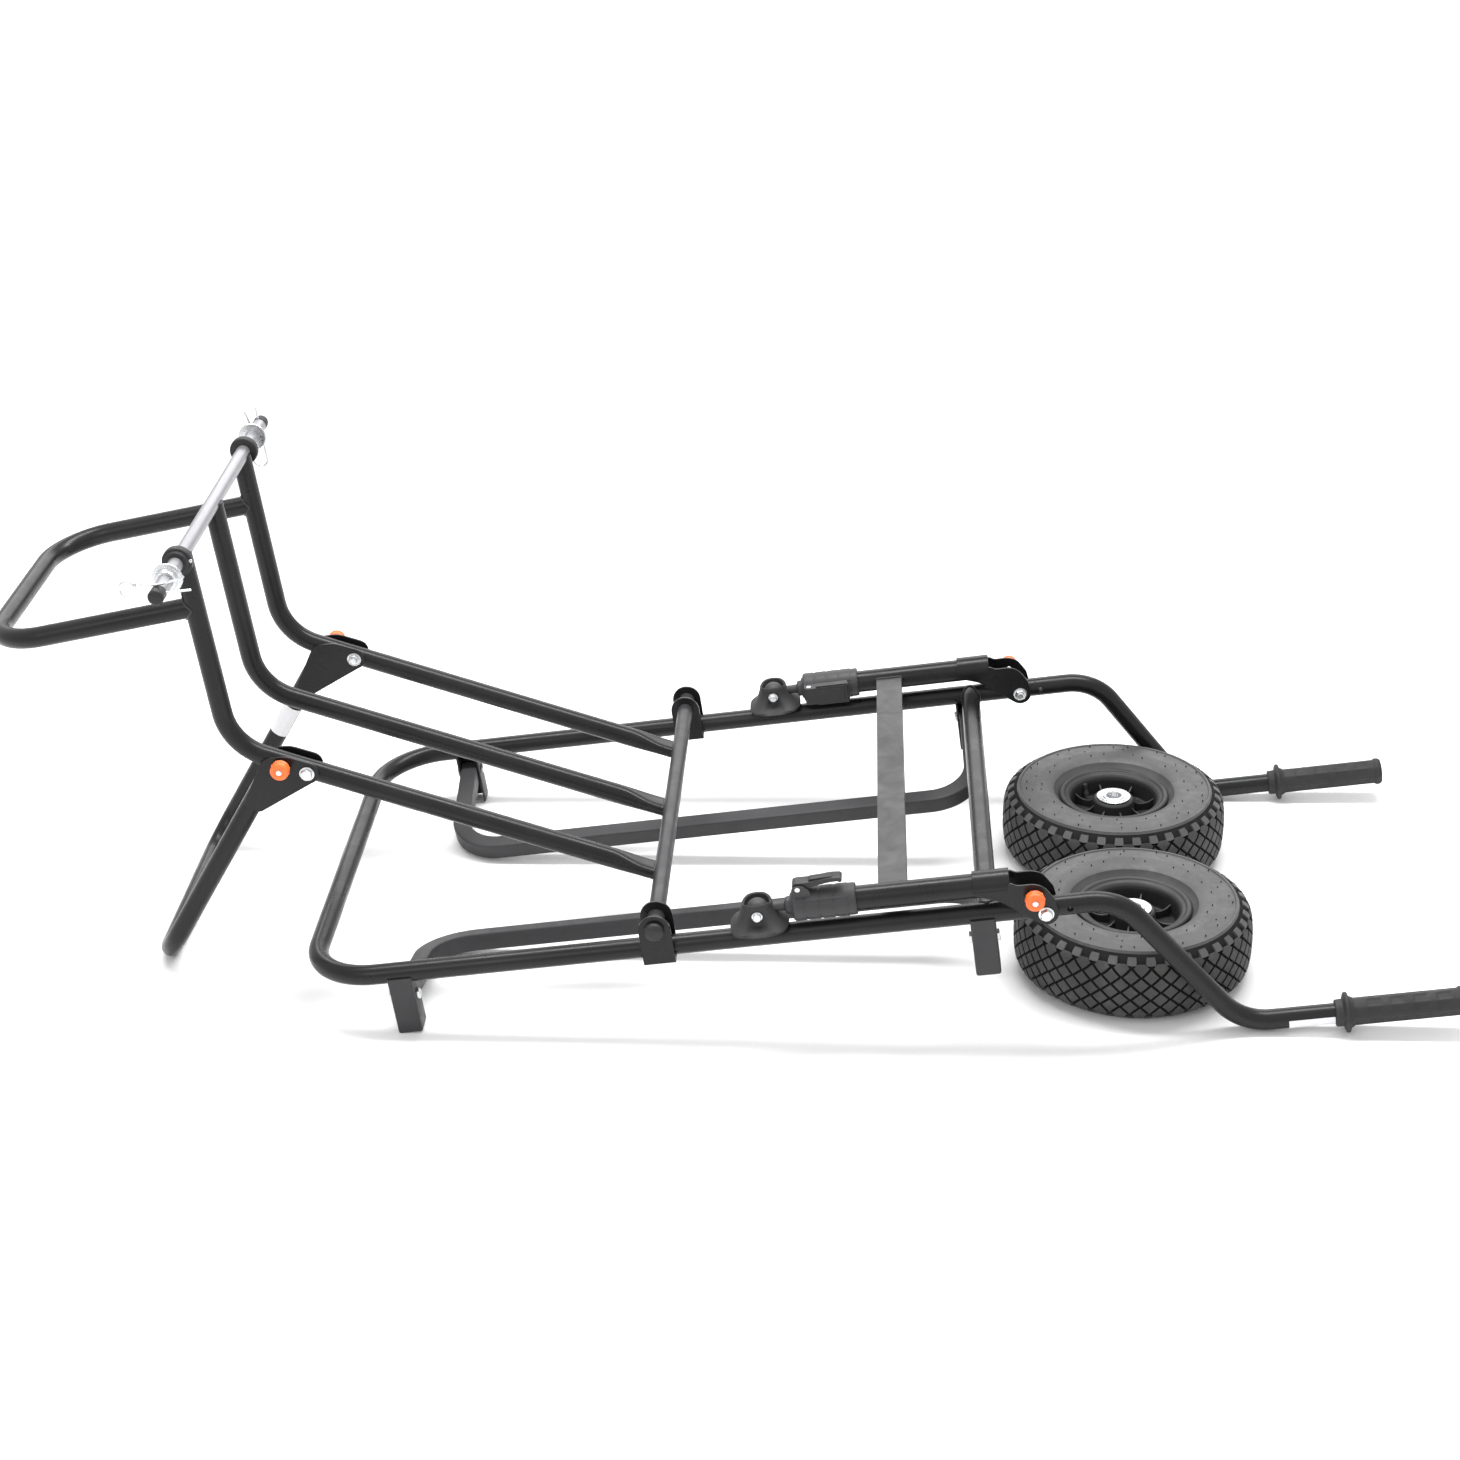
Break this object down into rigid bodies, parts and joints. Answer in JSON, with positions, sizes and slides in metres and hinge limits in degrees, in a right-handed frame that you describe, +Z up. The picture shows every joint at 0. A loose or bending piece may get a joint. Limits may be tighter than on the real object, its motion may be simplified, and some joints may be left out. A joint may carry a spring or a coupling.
{
  "type": "folding game cart",
  "caption": "Folding tubular hauling cart with a hinged axle frame, prop leg, telescoping rear legs, side rails and wheels taken off.",
  "frame": {"origin": "centre of the footprint, on the floor", "axes": "+X along the cart from the front loop to the grips, +Y across it, +Z up"},
  "size_m": [1.5685, 0.588, 0.5242],
  "materials": {
    "frame_paint": "satin black powder coat",
    "axle_steel": "bare drawn steel",
    "zinc": "zinc plated",
    "leg_metal": "satin black",
    "plastic": "fine grain black",
    "orange": "orange moulding",
    "rubber": "matt black",
    "tyre": "matt black tread"
  },
  "bodies": {
    "chassis": {"front_bar": "frame_paint", "side_tube_near": "frame_paint", "side_tube_far": "frame_paint", "handle_tube_near": "frame_paint", "handle_tube_far": "frame_paint", "rear_cross_tube": "frame_paint", "saddle_near": "frame_paint", "saddle_far": "frame_paint", "rail_posts": "frame_paint", "grip_near": "rubber", "grip_far": "rubber"},
    "axle_frame": {"pivot_tube": "frame_paint", "pivot_caps": "plastic", "j_tube_near": "frame_paint", "j_tube_middle": "frame_paint", "j_tube_far": "frame_paint", "axle_rod": "axle_steel", "axle_collars": "plastic", "axle_end_caps": "plastic", "front_loop": "frame_paint"},
    "washer_near": {"axle_washer_near": "zinc"},
    "washer_far": {"axle_washer_far": "zinc"},
    "clip_near": {"hairpin_near": "zinc"},
    "clip_far": {"hairpin_far": "zinc"},
    "prop": {"prop_leg": "frame_paint", "prop_bracket_near": "frame_paint", "prop_bracket_far": "frame_paint", "prop_fixings": "zinc"},
    "prop_plunger_near": {"prop_knob_near": "orange"},
    "prop_plunger_far": {"prop_knob_far": "orange"},
    "rear_legs": {"rear_tube_near": "frame_paint", "rear_tube_far": "frame_paint", "flat_bar": "frame_paint", "rear_bracket_near": "frame_paint", "rear_bracket_far": "frame_paint", "rear_fixings": "zinc", "clamp_near": "plastic", "clamp_far": "plastic"},
    "rear_plunger_near": {"rear_knob_near": "orange"},
    "rear_plunger_far": {"rear_knob_far": "orange"},
    "lever_near": {"cam_lever_near": "plastic"},
    "lever_far": {"cam_lever_far": "plastic"},
    "leg_slide_near": {"inner_leg_near": "leg_metal"},
    "leg_slide_far": {"inner_leg_far": "leg_metal"},
    "foot_pad_near": {"foot_near": "rubber", "foot_bolts_near": "zinc"},
    "foot_pad_far": {"foot_far": "rubber", "foot_bolts_far": "zinc"},
    "rail_frame_near": {"rail_near": "frame_paint", "rail_pins_near": "zinc"},
    "rail_frame_far": {"rail_far": "frame_paint", "rail_pins_far": "zinc"},
    "wheel_core_near": {"hub_near": "zinc"},
    "wheel_core_far": {"hub_far": "zinc"},
    "wheel_turn_near": {"tyre_near": "tyre", "rim_near": "plastic"},
    "wheel_turn_far": {"tyre_far": "tyre", "rim_far": "plastic"}
  },
  "joints": [
    {"name": "axle_frame_fold", "type": "hinge", "parent": "chassis", "child": "axle_frame", "pos_m": [-0.06628, 0, 0.12998], "axis": [0, 1, 0], "range_deg": [0, 90]},
    {"name": "prop_fold", "type": "hinge", "parent": "axle_frame", "child": "prop", "pos_m": [-0.44247, 0, 0.25367], "axis": [0, -1, 0], "range_deg": [0, 20]},
    {"name": "washer_near_slide", "type": "slide", "parent": "axle_frame", "child": "washer_near", "axis": [0, -1, 0], "range_m": [-0.03, 0.025]},
    {"name": "washer_far_slide", "type": "slide", "parent": "axle_frame", "child": "washer_far", "axis": [0, 1, 0], "range_m": [-0.03, 0.025]},
    {"name": "clip_near_pull", "type": "slide", "parent": "axle_frame", "child": "clip_near", "axis": [-0.993, 0, -0.1184], "range_m": [0, 0.045]},
    {"name": "clip_far_pull", "type": "slide", "parent": "axle_frame", "child": "clip_far", "axis": [0.1184, 0, -0.993], "range_m": [0, 0.045]},
    {"name": "prop_plunger_near_pull", "type": "slide", "parent": "prop", "child": "prop_plunger_near", "axis": [0, -1, 0], "range_m": [0, 0.006], "stiffness_N_per_m": 600, "springref_m": -0.004},
    {"name": "prop_plunger_far_pull", "type": "slide", "parent": "prop", "child": "prop_plunger_far", "axis": [0, 1, 0], "range_m": [0, 0.006], "stiffness_N_per_m": 600, "springref_m": -0.004},
    {"name": "rear_legs_fold", "type": "hinge", "parent": "chassis", "child": "rear_legs", "pos_m": [0.34018, 0, 0.15025], "axis": [0, 1, 0], "range_deg": [0, 112]},
    {"name": "rear_plunger_near_pull", "type": "slide", "parent": "rear_legs", "child": "rear_plunger_near", "axis": [0, -1, 0], "range_m": [0, 0.006], "stiffness_N_per_m": 600, "springref_m": -0.004},
    {"name": "rear_plunger_far_pull", "type": "slide", "parent": "rear_legs", "child": "rear_plunger_far", "axis": [0, 1, 0], "range_m": [0, 0.006], "stiffness_N_per_m": 600, "springref_m": -0.004},
    {"name": "lever_near_flip", "type": "hinge", "parent": "rear_legs", "child": "lever_near", "pos_m": [0.08338, -0.2615, 0.17552], "axis": [0, -1, 0], "range_deg": [0, 75]},
    {"name": "lever_far_flip", "type": "hinge", "parent": "rear_legs", "child": "lever_far", "pos_m": [0.08604, 0.239, 0.15318], "axis": [0.1184, 0, -0.993], "range_deg": [0, 75]},
    {"name": "leg_near_extend", "type": "slide", "parent": "rear_legs", "child": "leg_slide_near", "axis": [-0.993, 0, -0.1184], "range_m": [0, 0.045]},
    {"name": "foot_near_tilt", "type": "hinge", "parent": "leg_slide_near", "child": "foot_pad_near", "pos_m": [0.04148, -0.2615, 0.14686], "axis": [0, 1, 0], "range_deg": [-5, 5]},
    {"name": "leg_far_extend", "type": "slide", "parent": "rear_legs", "child": "leg_slide_far", "axis": [-0.993, 0, -0.1184], "range_m": [0, 0.045]},
    {"name": "foot_far_tilt", "type": "hinge", "parent": "leg_slide_far", "child": "foot_pad_far", "pos_m": [0.04148, 0.2615, 0.14686], "axis": [0, 1, 0], "range_deg": [-5, 5]},
    {"name": "rail_near_fold", "type": "hinge", "parent": "chassis", "child": "rail_frame_near", "pos_m": [-0.43896, -0.2615, 0.02915], "axis": [-0.993, 0, -0.1184], "range_deg": [0, 78.5]},
    {"name": "rail_far_fold", "type": "hinge", "parent": "chassis", "child": "rail_frame_far", "pos_m": [-0.43896, 0.2615, 0.02915], "axis": [0.993, 0, 0.1184], "range_deg": [0, 78.5]},
    {"name": "wheel_near_lift", "type": "slide", "parent": "chassis", "child": "wheel_core_near", "axis": [0, 0, 1], "range_m": [0, 0.005]},
    {"name": "wheel_near_spin", "type": "hinge", "parent": "wheel_core_near", "child": "wheel_turn_near", "pos_m": [0.44572, -0.1295, 0.04255], "axis": [0, 0, 1], "continuous": true},
    {"name": "wheel_far_lift", "type": "slide", "parent": "chassis", "child": "wheel_core_far", "axis": [0, 0, 1], "range_m": [0, 0.008]},
    {"name": "wheel_far_spin", "type": "hinge", "parent": "wheel_core_far", "child": "wheel_turn_far", "pos_m": [0.44572, 0.131, 0.04255], "axis": [0, 0, 1], "continuous": true}
  ]
}
